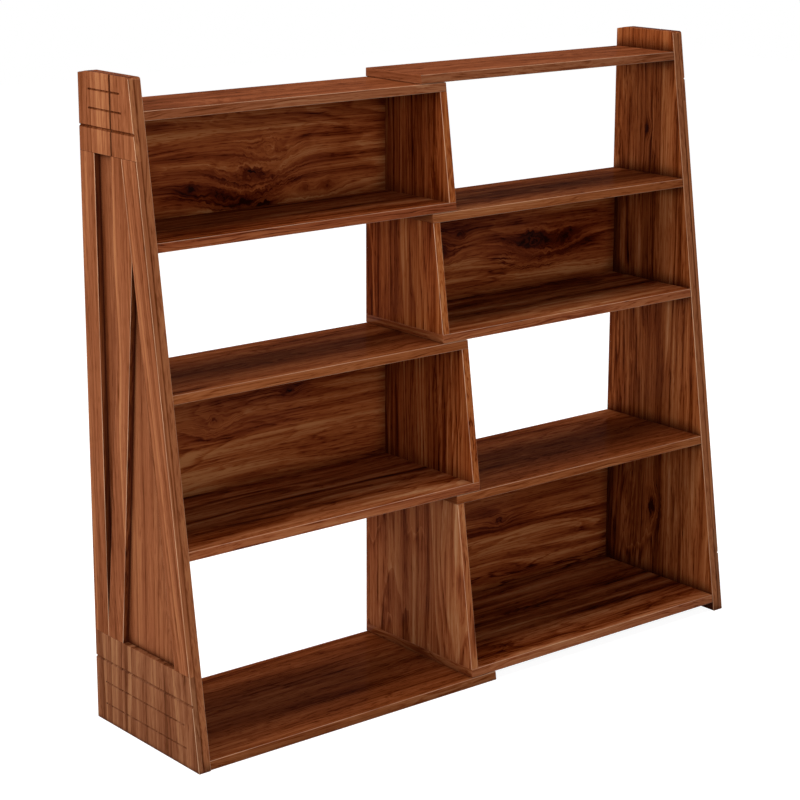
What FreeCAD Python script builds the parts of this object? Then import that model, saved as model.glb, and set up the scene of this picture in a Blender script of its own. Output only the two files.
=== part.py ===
"""Extending bookcase in two nesting halves, millimetres, +Z up, front towards -Y.

Each half has one tapered end panel, five shelves and two closed boxes. The shelves of one half
lie just above or below those of the other, so the right half slides over the left one.
The origin is on the floor, midway between the end panels and midway between front and rear.
"""
import FreeCAD, Part
import os

# Main measures
OVERALL_WIDTH = 1198.0
PANEL_BASE_DEPTH = 300.0
PANEL_TOP_DEPTH = 145.0
PANEL_RISE = 36.5  # end panel above the topmost shelf
OVERLAP = 54.0  # width in the middle that both halves share

# Boards
SHELF_THICKNESS = 15.0
UPRIGHT_THICKNESS = 15.0
BACK_THICKNESS = 6.0
CORE_THICKNESS = 13.0
FACING_THICKNESS = 10.0
FRONT_SETBACK = 1.5  # shelves and uprights behind the end panel's front edge
EDGE_RADIUS = 1.2  # eased edges of the boards
SEAM_RADIUS = 0.9  # eased outer edges of the facing pieces
SLIDE_GAP = 0.5  # between a shelf and the other half's shelf under it

# Clear heights of the four closed boxes
RIGHT_LOWER_BOX = 288.0
LEFT_LOWER_BOX = 230.0
RIGHT_UPPER_BOX = 188.0
LEFT_UPPER_BOX = 185.0

# Facing pieces of the end panel
TOP_BLOCK_HEIGHT = 126.0
BOTTOM_BLOCK_HEIGHT = 155.0
STILE_WIDTH = 42.0
REAR_RECESS_WIDTH = 48.0
REAR_RECESS_FOOT = 18.0  # point of the rear recess above the bottom block
KNEE_BELOW_TOP_BLOCK = 334.0  # where the slat's rear edge starts to lean
FRONT_RECESS_RISE = 644.0  # height of the front recess
SLAT_FOOT_WIDTH = 43.0
CORNER_RUN = 22.0  # eased rear top corner
CORNER_DROP = 4.0
FRONT_CORNER_RADIUS = 5.0

# Cut lines on the blocks
GROOVE_WIDTH = 3.4
GROOVE_DEPTH = 2.2
GROOVE_END_INSET = 29.0
TOP_GROOVE_FIRST = 27.0
TOP_GROOVE_PITCH = 29.5
BOTTOM_GROOVE_FIRST = 32.5
BOTTOM_GROOVE_PITCH = 38.0
SHORT_GROOVES = 2
LONG_GROOVE_WIDTH = 5.0
LONG_GROOVE_DEPTH = 3.0
SPLIT_WIDTH = 4.5
SPLIT_DEPTH = 4.0

# Back boards
RABBET = 7.0
RABBET_PLAY = 0.2
BRAD_DIAMETER = 1.6
BRAD_LENGTH = 14.0
BRAD_HEAD_DIAMETER = 3.4
BRAD_HEAD_THICKNESS = 0.6
BRADS_ALONG = 4
BRADS_UP = 3

# Shelf to end panel fastenings
BORE_PLAY = 0.1
FASTENER_INSET = 38.0
BOLT_THREAD_DIAMETER = 6.0
BOLT_THREAD_LENGTH = 10.0
BOLT_SHANK_DIAMETER = 7.0
BOLT_SHANK_LENGTH = 24.0
BOLT_NECK_DIAMETER = 4.0
BOLT_HEAD_DIAMETER = 6.4
BOLT_HEAD_LENGTH = 4.0
CAM_DIAMETER = 15.0
CAM_HEIGHT = 12.0
CAM_DISTANCE = 34.0
CAM_SLOT_HEIGHT = 7.4
DOWEL_DIAMETER = 8.0
DOWEL_IN_PANEL = 9.5
DOWEL_IN_SHELF = 20.0
DOWEL_CHAMFER = 1.0
BORE_END_PLAY = 0.5

# Upright screws and corner screws
SCREW_DIAMETER = 4.0
SCREW_LENGTH = 40.0
SCREW_HEAD_DIAMETER = 8.0
SCREW_HEAD_HEIGHT = 2.6
SCREW_SUNK = 0.2
DRIVE_WIDTH = 1.0
DRIVE_SPAN = 4.0
DRIVE_DEPTH = 1.4
CORNER_SCREW_DIAMETER = 3.5
CORNER_SCREW_LENGTH = 11.0
CORNER_HEAD_DIAMETER = 6.5
CORNER_HEAD_HEIGHT = 1.8
CORNER_SCREW_FORWARD = 15.0
CORNER_SCREW_BELOW = 10.0

REAR = PANEL_BASE_DEPTH / 2
PANEL_THICKNESS = CORE_THICKNESS + FACING_THICKNESS
OUTER_X = -OVERALL_WIDTH / 2
FACING_X = OUTER_X + FACING_THICKNESS
INNER_X = OUTER_X + PANEL_THICKNESS
FREE_X = OVERLAP / 2
UPRIGHT_X = FREE_X - UPRIGHT_THICKNESS

AXIS_X = FreeCAD.Vector(1, 0, 0)
AXIS_Y = FreeCAD.Vector(0, 1, 0)
AXIS_Z = FreeCAD.Vector(0, 0, 1)
ORIGIN = FreeCAD.Vector(0, 0, 0)
SAME_PLACE = 1e-6  # two points or lines closer than this are one


def stack_levels():
    """Undersides of the shelves of each half, from the floor up, and the overall height."""
    shared = SHELF_THICKNESS + SLIDE_GAP
    left_base = 0.0
    right_base = left_base + shared
    right_low = right_base + SHELF_THICKNESS + RIGHT_LOWER_BOX
    left_low = right_low + shared
    left_mid = left_low + SHELF_THICKNESS + LEFT_LOWER_BOX
    right_mid = left_mid + shared
    right_high = right_mid + SHELF_THICKNESS + RIGHT_UPPER_BOX
    left_high = right_high + shared
    left_top = left_high + SHELF_THICKNESS + LEFT_UPPER_BOX
    right_top = left_top + shared
    left = [left_base, left_low, left_mid, left_high, left_top]
    right = [right_base, right_low, right_mid, right_high, right_top]
    height = right_top + SHELF_THICKNESS + PANEL_RISE
    return dict(zip(SHELF_NAMES, left)), dict(zip(SHELF_NAMES, right)), height


SHELF_NAMES = ["base_shelf", "low_shelf", "middle_shelf", "high_shelf", "top_shelf"]
LEFT_BOXES = {"lower": ("low_shelf", "middle_shelf"), "upper": ("high_shelf", "top_shelf")}
RIGHT_BOXES = {"lower": ("base_shelf", "low_shelf"), "upper": ("middle_shelf", "high_shelf")}
LEFT_LEVELS, RIGHT_LEVELS, HEIGHT = stack_levels()
TOP_BLOCK_Z = HEIGHT - TOP_BLOCK_HEIGHT
LEAN = (PANEL_BASE_DEPTH - PANEL_TOP_DEPTH) / HEIGHT


def panel_front(z):
    """Y of the end panel's leaning front edge at a height."""
    return -PANEL_BASE_DEPTH / 2 + LEAN * z


def board_front(z):
    """Y of the front edge of shelves and uprights at a height."""
    return panel_front(z) + FRONT_SETBACK


def slab(outline, x, thickness):
    """Board with a side outline of (y, z) points, standing from x to x + thickness."""
    corners = [FreeCAD.Vector(x, y, z) for y, z in outline]
    face = Part.Face(Part.makePolygon(corners + corners[:1]))
    return face.extrude(AXIS_X * thickness)


def rod(diameter, start, axis, length):
    """Round bar from a start point along an axis."""
    return Part.makeCylinder(diameter / 2, length, start, axis)


def block(x, y, z):
    """Box from three (low, high) pairs."""
    size = [high - low for low, high in (x, y, z)]
    return Part.makeBox(*size, FreeCAD.Vector(x[0], y[0], z[0]))


def ease(solid, radius, keep):
    """Round the edges of a solid whose two end points pass a test together."""
    chosen = []
    for edge in solid.Edges:
        points = [vertex.Point for vertex in edge.Vertexes]
        if len(points) == 2 and keep(*points):
            chosen.append(edge)
    return solid.makeFillet(radius, chosen)


def both_at_x(x):
    """Test of an edge's end points: do both lie at this x?"""
    return lambda a, b: abs(a.x - x) < SAME_PLACE and abs(b.x - x) < SAME_PLACE


def panel_outline(low, high):
    """Side outline of the end panel between two heights, with the eased top rear corner."""
    outline = [(REAR, low)]
    if high == HEIGHT:
        outline += [(REAR, HEIGHT - CORNER_DROP), (REAR - CORNER_RUN, HEIGHT)]
    else:
        outline += [(REAR, high)]
    return outline + [(panel_front(high), high), (panel_front(low), low)]


def round_front_corner(solid):
    """Round the end panel's front top corner."""
    corner = panel_front(HEIGHT)

    def at_corner(a, b):
        return all(abs(p.y - corner) < SAME_PLACE and abs(p.z - HEIGHT) < SAME_PLACE for p in (a, b))

    return ease(solid, FRONT_CORNER_RADIUS, at_corner)


def facing(outline):
    """Board of the facing with its outer edges eased."""
    return ease(slab(outline, OUTER_X, FACING_THICKNESS), SEAM_RADIUS, both_at_x(OUTER_X))


def cut_line(z, y_low, y_high, width, depth):
    """Cutter for a V-shaped line along the outer face at a height."""
    half = width / 2
    corners = [(OUTER_X, z - half), (OUTER_X + depth, z), (OUTER_X, z + half), (OUTER_X - half, z)]
    points = [FreeCAD.Vector(x, y_low, height) for x, height in corners]
    face = Part.Face(Part.makePolygon(points + points[:1]))
    return face.extrude(AXIS_Y * (y_high - y_low))


def short_line(z):
    """Cutter for a line that ends before both edges of the panel."""
    y_low, y_high = panel_front(z) + GROOVE_END_INSET, REAR - GROOVE_END_INSET
    return cut_line(z, y_low, y_high, GROOVE_WIDTH, GROOVE_DEPTH)


def long_line(z):
    """Cutter for a line right across the outer face, which nicks both edges."""
    y_low, y_high = panel_front(z) - LONG_GROOVE_WIDTH, REAR + LONG_GROOVE_WIDTH
    return cut_line(z, y_low, y_high, LONG_GROOVE_WIDTH, LONG_GROOVE_DEPTH)


def block_lines(outer_end, first, pitch):
    """Cutters for the short lines and the long line of a block, stepped from its outer end."""
    heights = [outer_end + first + row * pitch for row in range(SHORT_GROOVES + 1)]
    return [short_line(z) for z in heights[:-1]] + [long_line(heights[-1])]


def top_block():
    """Top facing block with its lines and the upright split above the slat's rear edge."""
    solid = round_front_corner(slab(panel_outline(TOP_BLOCK_Z, HEIGHT), OUTER_X, FACING_THICKNESS))
    solid = ease(solid, SEAM_RADIUS, both_at_x(OUTER_X))
    split_y = REAR - STILE_WIDTH - REAR_RECESS_WIDTH
    split = block(
        (OUTER_X - SPLIT_DEPTH, OUTER_X + SPLIT_DEPTH),
        (split_y - SPLIT_WIDTH, split_y),
        (TOP_BLOCK_Z - SPLIT_WIDTH, HEIGHT + SPLIT_WIDTH),
    )
    return solid.cut([split] + block_lines(HEIGHT, -TOP_GROOVE_FIRST, -TOP_GROOVE_PITCH))


def bottom_block():
    """Bottom facing block with its lines."""
    solid = facing(panel_outline(0.0, BOTTOM_BLOCK_HEIGHT))
    return solid.cut(block_lines(0.0, BOTTOM_GROOVE_FIRST, BOTTOM_GROOVE_PITCH))


def rear_stile():
    """Upright facing strip along the rear edge."""
    inner = REAR - STILE_WIDTH
    low, high = BOTTOM_BLOCK_HEIGHT, TOP_BLOCK_Z
    return facing([(REAR, low), (REAR, high), (inner, high), (inner, low)])


def front_stile():
    """Facing strip along the leaning front edge."""
    low, high = BOTTOM_BLOCK_HEIGHT, TOP_BLOCK_Z
    outer = [(panel_front(low), low), (panel_front(high), high)]
    return facing(outer + [(y + STILE_WIDTH, z) for y, z in reversed(outer)])


def diagonal_slat():
    """Facing slat that leans from the front stile down to the rear stile's foot."""
    low, high = BOTTOM_BLOCK_HEIGHT, TOP_BLOCK_Z
    stile_edge = REAR - STILE_WIDTH
    rear_edge = stile_edge - REAR_RECESS_WIDTH
    point = low + FRONT_RECESS_RISE
    return facing(
        [
            (rear_edge, high),
            (rear_edge, high - KNEE_BELOW_TOP_BLOCK),
            (stile_edge, low + REAR_RECESS_FOOT),
            (stile_edge, low),
            (stile_edge - SLAT_FOOT_WIDTH, low),
            (panel_front(point) + STILE_WIDTH, point),
            (panel_front(high) + STILE_WIDTH, high),
        ]
    )


def panel_core(cutters):
    """Tapered board behind the facing, which carries the shelves."""
    solid = round_front_corner(slab(panel_outline(0.0, HEIGHT), FACING_X, CORE_THICKNESS))
    solid = ease(solid, EDGE_RADIUS, both_at_x(INNER_X))
    return solid.cut(cutters)


def shelf(level, cutters):
    """Shelf from the end panel to the free end, eased all round but where it meets the panel."""
    top = level + SHELF_THICKNESS
    outline = [(REAR, level), (REAR, top), (board_front(top), top), (board_front(level), level)]
    at_panel = both_at_x(INNER_X)
    solid = slab(outline, INNER_X, FREE_X - INNER_X)
    return ease(solid, EDGE_RADIUS, lambda a, b: not at_panel(a, b)).cut(cutters)


def upright(low, high, cutters):
    """Upright at the free end of a box, standing between two shelves, with eased long edges."""
    outline = [(REAR, low), (REAR, high), (board_front(high), high), (board_front(low), low)]
    solid = slab(outline, UPRIGHT_X, UPRIGHT_THICKNESS)
    return ease(solid, EDGE_RADIUS, lambda a, b: abs(a.z - b.z) > SAME_PLACE).cut(cutters)


def back_board(low, high, play):
    """Back board of a box in its rabbet, grown by a play on its four sides."""
    grow = RABBET + play
    return block((INNER_X - grow, UPRIGHT_X + grow), (REAR - BACK_THICKNESS, REAR), (low - grow, high + grow))


def brad_places(low, high):
    """Points (x, z) of the brads round a back board's edge."""
    half = RABBET / 2
    left, right = INNER_X - half, UPRIGHT_X + half
    bottom, top = low - half, high + half
    across = (right - left) / (BRADS_ALONG - 1)
    up = (top - bottom) / (BRADS_UP - 1)
    places = [(left + step * across, z) for step in range(BRADS_ALONG) for z in (bottom, top)]
    return places + [(x, bottom + step * up) for step in range(1, BRADS_UP - 1) for x in (left, right)]


def brad(x, z, play):
    """Headed brad driven through a back board from behind, grown by a play."""
    start = FreeCAD.Vector(x, REAR, z)
    head = rod(BRAD_HEAD_DIAMETER + 2 * play, start, -AXIS_Y, BRAD_HEAD_THICKNESS + play)
    shank = rod(BRAD_DIAMETER + 2 * play, start, -AXIS_Y, BRAD_LENGTH + play)
    return head.fuse(shank).removeSplitter()


def fastener_places(level):
    """Y of the two bolts and the dowel between them at a shelf's end."""
    middle = level + SHELF_THICKNESS / 2
    front, rear = board_front(middle) + FASTENER_INSET, REAR - FASTENER_INSET
    return front, rear, (front + rear) / 2, middle


def cam_bolt(y, z):
    """Steel bolt screwed into the end panel, whose head the cam draws in."""
    runs = [
        (BOLT_THREAD_DIAMETER, -BOLT_THREAD_LENGTH, 0.0),
        (BOLT_SHANK_DIAMETER, 0.0, BOLT_SHANK_LENGTH),
        (BOLT_NECK_DIAMETER, BOLT_SHANK_LENGTH, CAM_DISTANCE),
        (BOLT_HEAD_DIAMETER, CAM_DISTANCE, CAM_DISTANCE + BOLT_HEAD_LENGTH),
    ]
    rods = []
    for width, low, high in runs:
        start = FreeCAD.Vector(INNER_X + low, y, z)
        rods.append(rod(width, start, AXIS_X, high - low))
    return rods[0].fuse(rods[1:]).removeSplitter()


def bolt_bore(y, z):
    """Bore for a cam bolt in the end panel and along the shelf."""
    panel_hole = rod(
        BOLT_THREAD_DIAMETER + 2 * BORE_PLAY,
        FreeCAD.Vector(INNER_X - BOLT_THREAD_LENGTH - BORE_END_PLAY, y, z),
        AXIS_X,
        BOLT_THREAD_LENGTH + BORE_END_PLAY,
    )
    shelf_hole = rod(
        BOLT_SHANK_DIAMETER + 2 * BORE_PLAY,
        FreeCAD.Vector(INNER_X, y, z),
        AXIS_X,
        CAM_DISTANCE + BOLT_HEAD_LENGTH + BORE_END_PLAY,
    )
    return panel_hole, shelf_hole


def cam_housing(y, level):
    """Blind hole for a cam in the underside of a shelf."""
    start = FreeCAD.Vector(INNER_X + CAM_DISTANCE, y, level)
    return rod(CAM_DIAMETER + 2 * BORE_PLAY, start, AXIS_Z, CAM_HEIGHT + BORE_PLAY)


def cross_recess(centre, axis, span_a, span_b):
    """Cutters for a cross-shaped drive, sunk from a head's face along an axis."""
    cutters = []
    for along, across in ((span_a, span_b), (span_b, span_a)):
        corner = centre - along * (DRIVE_SPAN / 2) - across * (DRIVE_WIDTH / 2)
        far = centre + along * (DRIVE_SPAN / 2) + across * (DRIVE_WIDTH / 2) + axis * DRIVE_DEPTH
        lows = [min(a, b) for a, b in zip(corner, far)]
        highs = [max(a, b) for a, b in zip(corner, far)]
        cutters.append(block(*zip(lows, highs)))
    return cutters


def cam_lock(y, level):
    """Cam that pulls a bolt's head, set flush in the underside of a shelf."""
    centre = FreeCAD.Vector(INNER_X + CAM_DISTANCE, y, level)
    body = rod(CAM_DIAMETER, centre, AXIS_Z, CAM_HEIGHT)
    axis_point = FreeCAD.Vector(INNER_X, y, level + SHELF_THICKNESS / 2)
    slot = rod(CAM_SLOT_HEIGHT, axis_point, AXIS_X, CAM_DISTANCE + BOLT_HEAD_LENGTH + BORE_END_PLAY)
    return body.cut([slot] + cross_recess(centre, AXIS_Z, AXIS_X, AXIS_Y))


def dowel(y, z, play):
    """Wooden dowel between end panel and shelf, grown by a play."""
    start = FreeCAD.Vector(INNER_X - DOWEL_IN_PANEL - play, y, z)
    body = rod(DOWEL_DIAMETER + 2 * play, start, AXIS_X, DOWEL_IN_PANEL + DOWEL_IN_SHELF + 2 * play)
    if play:
        return body
    rims = [edge for edge in body.Edges if isinstance(edge.Curve, Part.Circle)]
    return body.makeChamfer(DOWEL_CHAMFER, rims)


def countersunk_screw(x, y, z, axis, play):
    """Countersunk screw whose head lies just under the face at (x, y, z), grown by a play."""
    start = FreeCAD.Vector(x, y, z) + axis * SCREW_SUNK
    head = Part.makeCone(
        SCREW_HEAD_DIAMETER / 2 + play, SCREW_DIAMETER / 2 + play, SCREW_HEAD_HEIGHT, start, axis
    )
    shank = rod(SCREW_DIAMETER + 2 * play, start, axis, SCREW_LENGTH + play)
    if play:
        mouth = rod(SCREW_HEAD_DIAMETER + 2 * play, start - axis * SCREW_SUNK, axis, SCREW_SUNK)
        return head.fuse([shank, mouth]).removeSplitter()
    screw = head.fuse(shank).removeSplitter()
    return screw.cut(cross_recess(start, axis, AXIS_X, AXIS_Y))


def upright_screw_places(low, high):
    """Point and driving direction of the four screws that hold an upright between its shelves."""
    x = FREE_X - UPRIGHT_THICKNESS / 2
    top, bottom = high + SHELF_THICKNESS, low - SHELF_THICKNESS
    front = board_front(high) + FASTENER_INSET
    rear = REAR - FASTENER_INSET
    return [(x, y, z, axis) for y in (front, rear) for z, axis in ((top, -AXIS_Z), (bottom, AXIS_Z))]


def corner_screw(high, play):
    """Small domed screw in an upright's inner face, in its upper rear corner; grown by a play."""
    start = FreeCAD.Vector(UPRIGHT_X, REAR - BACK_THICKNESS - CORNER_SCREW_FORWARD, high - CORNER_SCREW_BELOW)
    shank = rod(CORNER_SCREW_DIAMETER + 2 * play, start, AXIS_X, CORNER_SCREW_LENGTH + play)
    if play:
        return shank
    head_radius = CORNER_HEAD_DIAMETER / 2
    dome_radius = (head_radius**2 + CORNER_HEAD_HEIGHT**2) / (2 * CORNER_HEAD_HEIGHT)
    dome = Part.makeSphere(dome_radius, start + AXIS_X * (dome_radius - CORNER_HEAD_HEIGHT))
    crown = start - AXIS_X * CORNER_HEAD_HEIGHT
    head = dome.common(rod(CORNER_HEAD_DIAMETER, crown, AXIS_X, CORNER_HEAD_HEIGHT))
    slot = block(
        (crown.x, crown.x + CORNER_HEAD_HEIGHT / 2),
        (start.y - head_radius, start.y + head_radius),
        (start.z - DRIVE_WIDTH / 2, start.z + DRIVE_WIDTH / 2),
    )
    return head.cut(slot).fuse(shank).removeSplitter()


class Half:
    """One half of the bookcase, drawn as the left one; its shelf levels and boxes are given."""

    def __init__(self, levels, boxes):
        self.shelf_levels = levels
        self.box_shelves = boxes
        self.boxes = {}
        for name, (low, high) in boxes.items():
            self.boxes[name] = (levels[low] + SHELF_THICKNESS, levels[high])

    def panel_cutters(self):
        """Bores and rabbets in the end panel's core."""
        cutters = [back_board(low, high, RABBET_PLAY) for low, high in self.boxes.values()]
        for level in self.shelf_levels.values():
            front, rear, middle, z = fastener_places(level)
            cutters += [bolt_bore(front, z)[0], bolt_bore(rear, z)[0], dowel(middle, z, BORE_PLAY)]
        return cutters + self.brad_bores()

    def shelf_cutters(self, shelf_name):
        """Bores, cam housings, rabbets and screw holes in one shelf."""
        level = self.shelf_levels[shelf_name]
        front, rear, middle, z = fastener_places(level)
        cutters = [bolt_bore(front, z)[1], bolt_bore(rear, z)[1], dowel(middle, z, BORE_PLAY)]
        cutters += [cam_housing(front, level), cam_housing(rear, level)]
        for name, (low, high) in self.boxes.items():
            if shelf_name in self.box_shelves[name]:
                cutters.append(back_board(low, high, RABBET_PLAY))
                cutters += self.screw_bores(low, high)
        return cutters + self.brad_bores()

    def screw_bores(self, low, high):
        """Holes of the screws that hold one upright."""
        return [countersunk_screw(*place, BORE_PLAY) for place in upright_screw_places(low, high)]

    def brad_bores(self):
        """Holes of all brads."""
        return [brad(x, z, BORE_PLAY) for low, high in self.boxes.values() for x, z in brad_places(low, high)]

    def panel_pieces(self):
        """Core and facing pieces of the end panel."""
        return {
            "panel_core": panel_core(self.panel_cutters()),
            "panel_top_block": top_block(),
            "panel_bottom_block": bottom_block(),
            "panel_rear_stile": rear_stile(),
            "panel_front_stile": front_stile(),
            "panel_diagonal_slat": diagonal_slat(),
        }

    def boards(self):
        """Shelves, uprights and back boards."""
        pieces = {
            name: shelf(level, self.shelf_cutters(name)) for name, level in self.shelf_levels.items()
        }
        for name, (low, high) in self.boxes.items():
            cutters = [back_board(low, high, RABBET_PLAY), corner_screw(high, BORE_PLAY)]
            cutters += self.screw_bores(low, high) + self.brad_bores()
            pieces[name + "_upright"] = upright(low, high, cutters)
            pieces[name + "_back"] = back_board(low, high, 0.0).cut(self.brad_bores())
        return pieces

    def fasteners(self):
        """Groups of like fasteners, each fastener its own solid."""
        bolts, cams, dowels, screws, brads = [], [], [], [], []
        for level in self.shelf_levels.values():
            front, rear, middle, z = fastener_places(level)
            bolts += [cam_bolt(y, z) for y in (front, rear)]
            cams += [cam_lock(y, level) for y in (front, rear)]
            dowels.append(dowel(middle, z, 0.0))
        for low, high in self.boxes.values():
            screws += [countersunk_screw(*place, 0.0) for place in upright_screw_places(low, high)]
            brads += [brad(x, z, 0.0) for x, z in brad_places(low, high)]
        return {
            "cam_bolts": Part.makeCompound(bolts),
            "cam_locks": Part.makeCompound(cams),
            "shelf_dowels": Part.makeCompound(dowels),
            "upright_screws": Part.makeCompound(screws),
            "back_brads": Part.makeCompound(brads),
            "corner_screws": Part.makeCompound([corner_screw(high, 0.0) for _, high in self.boxes.values()]),
        }

    def pieces(self):
        """All pieces of the half by name."""
        return {**self.panel_pieces(), **self.boards(), **self.fasteners()}


def export(name, shape):
    """Write one piece, after a test that it is sound."""
    if not shape.isValid():
        raise ValueError(name + " is not a valid shape")
    shape.exportStep("parts/" + name + ".step")


def main():
    """Build both halves; the right one is drawn like the left and then mirrored."""
    os.makedirs("parts", exist_ok=True)
    for name, piece in Half(LEFT_LEVELS, LEFT_BOXES).pieces().items():
        export("left_" + name, piece)
    for name, piece in Half(RIGHT_LEVELS, RIGHT_BOXES).pieces().items():
        export("right_" + name, piece.mirror(ORIGIN, AXIS_X))


main()
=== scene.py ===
"""Looks of an extending walnut bookcase: lacquered boards, small hardware, studio and camera.

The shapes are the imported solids. This script gives every board its own piece of figured walnut, cut
from one imagined log so that faces, edges and ends agree, and dresses the hardware. Lengths in the
dataclasses are millimetres, and Blender's own lengths are metres.
"""
import logging
import math
from dataclasses import dataclass, replace
from enum import Enum
from typing import Any, Mapping

import bpy
from mathutils import Matrix, Vector


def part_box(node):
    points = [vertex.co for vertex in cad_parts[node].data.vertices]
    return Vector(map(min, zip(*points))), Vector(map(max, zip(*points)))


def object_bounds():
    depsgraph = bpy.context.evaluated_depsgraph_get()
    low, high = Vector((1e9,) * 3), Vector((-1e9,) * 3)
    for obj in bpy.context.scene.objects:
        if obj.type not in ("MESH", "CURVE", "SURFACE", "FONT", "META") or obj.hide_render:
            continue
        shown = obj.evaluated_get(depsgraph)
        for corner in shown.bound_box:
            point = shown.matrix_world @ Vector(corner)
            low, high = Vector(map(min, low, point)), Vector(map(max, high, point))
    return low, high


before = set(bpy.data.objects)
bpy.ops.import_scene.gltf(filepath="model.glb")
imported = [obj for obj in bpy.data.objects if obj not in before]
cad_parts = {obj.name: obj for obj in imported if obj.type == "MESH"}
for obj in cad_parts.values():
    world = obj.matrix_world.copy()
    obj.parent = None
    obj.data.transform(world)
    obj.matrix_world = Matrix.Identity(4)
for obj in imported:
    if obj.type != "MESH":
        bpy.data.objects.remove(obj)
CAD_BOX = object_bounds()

LOG = logging.getLogger("bookcase")
MM = 0.001
PHOTO_SIDE = 800  # pixels along each side of the image

# Blender's names of the nodes that are used most
MATH = "ShaderNodeMath"
VECTOR = "ShaderNodeVectorMath"
SPLIT = "ShaderNodeSeparateXYZ"
JOIN = "ShaderNodeCombineXYZ"
RANGE = "ShaderNodeMapRange"
MIX = "ShaderNodeMix"
RAMP = "ShaderNodeValToRGB"
NOISE = "ShaderNodeTexNoise"
COORDS = "ShaderNodeTexCoord"
GEOMETRY = "ShaderNodeNewGeometry"
BUMP = "ShaderNodeBump"
SHADER = "ShaderNodeBsdfPrincipled"
OUTPUT = "ShaderNodeOutputMaterial"

# Sockets of a Mix node: for values, for places and for colours
MIX_VALUE_A = 2
MIX_VALUE_B = 3
MIX_PLACE_A = 4
MIX_PLACE_B = 5
MIX_PLACE_RESULT = 1
MIX_COLOUR_A = 6
MIX_COLOUR_B = 7
MIX_COLOUR_RESULT = 2

CUT_SPACING = 1370.0  # boards lie this far from each other along the log
CUT_STEP = 37  # this and the number of kinds spread the cuts round the pith
CUT_KINDS = 11
MIDDLE_TONE = 0.55  # tone of wood without any figure


def linear(hex_colour: str) -> tuple[float, float, float, float]:
    """Turn an sRGB hex colour into the linear colour that shaders take.

    Args:
        hex_colour: Six hex digits after a hash sign.

    Returns:
        Red, green, blue and full alpha.
    """
    parts = [int(hex_colour[place:place + 2], 16) / 255 for place in (1, 3, 5)]
    shares = [part / 12.92 if part <= 0.04045 else ((part + 0.055) / 1.055) ** 2.4 for part in parts]
    return (*shares, 1.0)


def add(
    tree: bpy.types.NodeTree,
    kind: str,
    inputs: Mapping[str | int, Any] | None = None,
    stops: Mapping[float, str] | None = None,
    **settings: Any,
) -> bpy.types.Node:
    """Add a node, set it up and feed its inputs.

    Args:
        tree: Node tree that gets the node.
        kind: Blender's type name of the node.
        inputs: Value, socket or node for each named or numbered input.
        stops: Hex colour at each position, for a node that has a colour ramp.
        **settings: Attributes of the node itself.

    Returns:
        The new node.
    """
    node = tree.nodes.new(kind)
    for name, value in settings.items():
        setattr(node, name, value)
    for key, value in (inputs or {}).items():
        if isinstance(value, bpy.types.Node):
            value = value.outputs[0]
        if isinstance(value, bpy.types.NodeSocket):
            tree.links.new(value, node.inputs[key])
        else:
            node.inputs[key].default_value = value
    if stops:
        places = node.color_ramp.elements
        while len(places) < len(stops):
            places.new(1.0)
        for element, (place, colour) in zip(places, sorted(stops.items())):
            element.position = place
            element.color = linear(colour)
    return node


def new_group(name: str, inputs: Mapping[str, str], outputs: Mapping[str, str]) -> bpy.types.NodeTree:
    """Start a node group with its two end nodes.

    Args:
        name: Name of the group.
        inputs: Socket type of each input by name.
        outputs: Socket type of each output by name.

    Returns:
        The group, holding a node "in" and a node "out".
    """
    tree = bpy.data.node_groups.new(name, "ShaderNodeTree")
    for side, sockets in (("INPUT", inputs), ("OUTPUT", outputs)):
        for socket, kind in sockets.items():
            tree.interface.new_socket(socket, in_out=side, socket_type="NodeSocket" + kind)
    tree.nodes.new("NodeGroupInput").name = "in"
    tree.nodes.new("NodeGroupOutput").name = "out"
    return tree


def new_material(name: str) -> bpy.types.Material:
    """Start a material with an empty node tree.

    Args:
        name: Name of the material.

    Returns:
        The material.
    """
    made = bpy.data.materials.new(name)
    made.use_nodes = True
    made.node_tree.nodes.clear()
    return made


class Side(Enum):
    """The two halves of the bookcase, by the start of their nodes' names."""

    LEFT = "left_"
    RIGHT = "right_"


class Level(Enum):
    """The two closed boxes of a half, by the next part of their nodes' names."""

    LOWER = "lower_"
    UPPER = "upper_"


class Grain(Enum):
    """Axes that run along the grain, across the board's face and through the board."""

    SHELF = ("X", "Y", "Z")
    BACK = ("X", "Z", "Y")
    UPRIGHT = ("Z", "Y", "X")


@dataclass(frozen=True)
class Knot:
    """A knot in a board, in the frame's millimetres along and across the grain."""

    along: float
    across: float
    radius: float
    dark: float = 0.8  # below 0 for a pale patch that the grain swings round, 1 for a black core


@dataclass(frozen=True)
class Board:
    """One board: its node, how its grain lies and where in the log it was cut."""

    node: str
    grain: Grain
    cut: int  # running number of the cut, which picks the place in the log
    lean: float = 0.0  # drift of the grain across the board for each length along it
    cast: float = 0.0  # lighter or darker than its neighbours
    outward: float = 0.0  # way along X that a calmer outer veneer faces, if there is one
    seam: float | None = None  # place along X of a glued joint that shows on the front edge
    knots: tuple[Knot, ...] = ()

    def place_in_log(self) -> tuple[float, float, float]:
        """Give the shift from the frame to the board's own cut, with the pith behind its middle."""
        low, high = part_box(self.node)
        middle = (low + high) / (2 * MM)
        along, across, through = (middle["XYZ".index(axis)] for axis in self.grain.value)
        return (self.cut * CUT_SPACING - along, -across, -through)

    def spread(self) -> float:
        """Give the cut's own number between -0.5 and 0.5, which moves the pith."""
        return (self.cut * CUT_STEP) % CUT_KINDS / (CUT_KINDS - 1) - 0.5


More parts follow.
